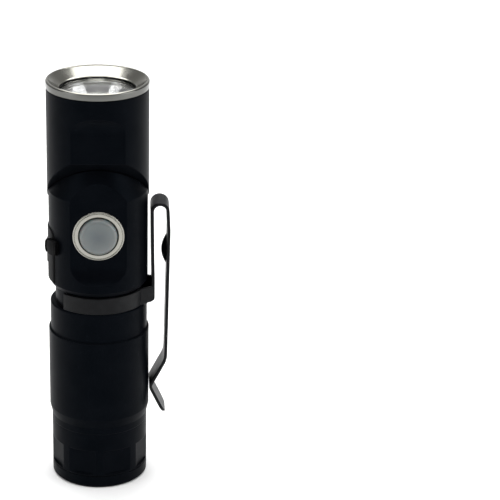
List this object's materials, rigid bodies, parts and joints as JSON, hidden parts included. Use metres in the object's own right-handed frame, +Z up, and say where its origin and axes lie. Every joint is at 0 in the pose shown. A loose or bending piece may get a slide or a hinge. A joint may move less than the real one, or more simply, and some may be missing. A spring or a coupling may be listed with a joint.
{
  "type": "tactical flashlight",
  "caption": "Pocket torch with a swivelling head, side button, charging port under a rubber cover, steel clip and screw tail cap.",
  "frame": {"origin": "centre of the tail face, which the light stands on", "axes": "+Z up the body axis, -Y out of the button, +X out to the pocket clip, -X out of the charging port"},
  "size_m": [0.0332, 0.027, 0.112],
  "materials": {
    "black_anodised": "hard-anodised, satin black",
    "polished_steel": "polished bright metal",
    "steel": "plain machined",
    "black_steel": "black-coated spring steel, satin",
    "brass": "plain",
    "bare_copper": "plain copper",
    "mirror_metal": "metallised mirror",
    "lens_glass": "clear coated glass",
    "black_rubber": "matt black silicone rubber",
    "grey_silicone": "translucent grey silicone",
    "white_plastic": "moulded",
    "black_plastic": "moulded",
    "circuit_board": "solder mask",
    "led_board_white": "white solder mask",
    "led_phosphor": "phosphor under a clear dome",
    "lead_insulation": "wire insulation",
    "cell_wrap": "shrink wrap"
  },
  "bodies": {
    "body": {"switch_housing": "black_anodised", "swivel_washer": "brass", "swivel_seal": "black_rubber", "button_ring": "polished_steel", "tact_switch": "black_plastic", "control_board": "circuit_board", "board_chips": "black_plastic", "indicator_leds": "white_plastic", "charging_socket": "steel", "cover_anchor": "black_rubber", "contact_board": "circuit_board", "front_spring": "brass", "housing_seal": "black_rubber", "battery_tube": "black_anodised", "tail_seal": "black_rubber", "battery_cell": "cell_wrap", "clip_band": "black_steel"},
    "head": {"head_housing": "black_anodised", "bezel_ring": "polished_steel", "front_lens": "lens_glass", "lens_seal": "black_rubber", "reflector": "mirror_metal", "led_gasket": "white_plastic", "led_emitter": "led_phosphor", "led_board": "led_board_white", "heat_spreader": "bare_copper", "led_leads": "lead_insulation", "swivel_pivot": "steel", "snap_ring": "steel"},
    "button": {"button_cap": "grey_silicone", "switch_plunger": "white_plastic"},
    "cover": {"port_cover": "black_rubber"},
    "clip": {"clip_arm": "black_steel"},
    "tail_core": {"tail_spring": "brass", "tail_contact": "brass"},
    "tail": {"tail_cap": "black_anodised", "tail_magnet": "steel"}
  },
  "joints": [
    {"name": "head_swivel", "type": "hinge", "parent": "body", "child": "head", "pos_m": [0, 0, 0.081], "axis": [0, -0.7071, -0.7071], "range_deg": [0, 180]},
    {"name": "button_press", "type": "slide", "parent": "body", "child": "button", "axis": [0, 1, 0], "range_m": [0, 0.0008], "stiffness_N_per_m": 1500},
    {"name": "cover_open", "type": "hinge", "parent": "body", "child": "cover", "pos_m": [-0.0134, 0, 0.0583], "axis": [0, -1, 0], "range_deg": [0, 100]},
    {"name": "clip_flex", "type": "hinge", "parent": "body", "child": "clip", "pos_m": [0.01625, 0, 0.0791], "axis": [0, -1, 0], "range_deg": [0, 5], "stiffness_Nm_per_rad": 8},
    {"name": "cap_travel", "type": "slide", "parent": "body", "child": "tail_core", "axis": [0, 0, -1], "range_m": [0, 0.005]},
    {"name": "cap_turn", "type": "hinge", "parent": "tail_core", "child": "tail", "pos_m": [0, 0, 0], "axis": [0, 0, -1], "range_deg": [0, 1800]}
  ],
  "couplings": [
    {"joint": "cap_turn", "follows": "cap_travel", "rad_per_m": 6283.2}
  ]
}
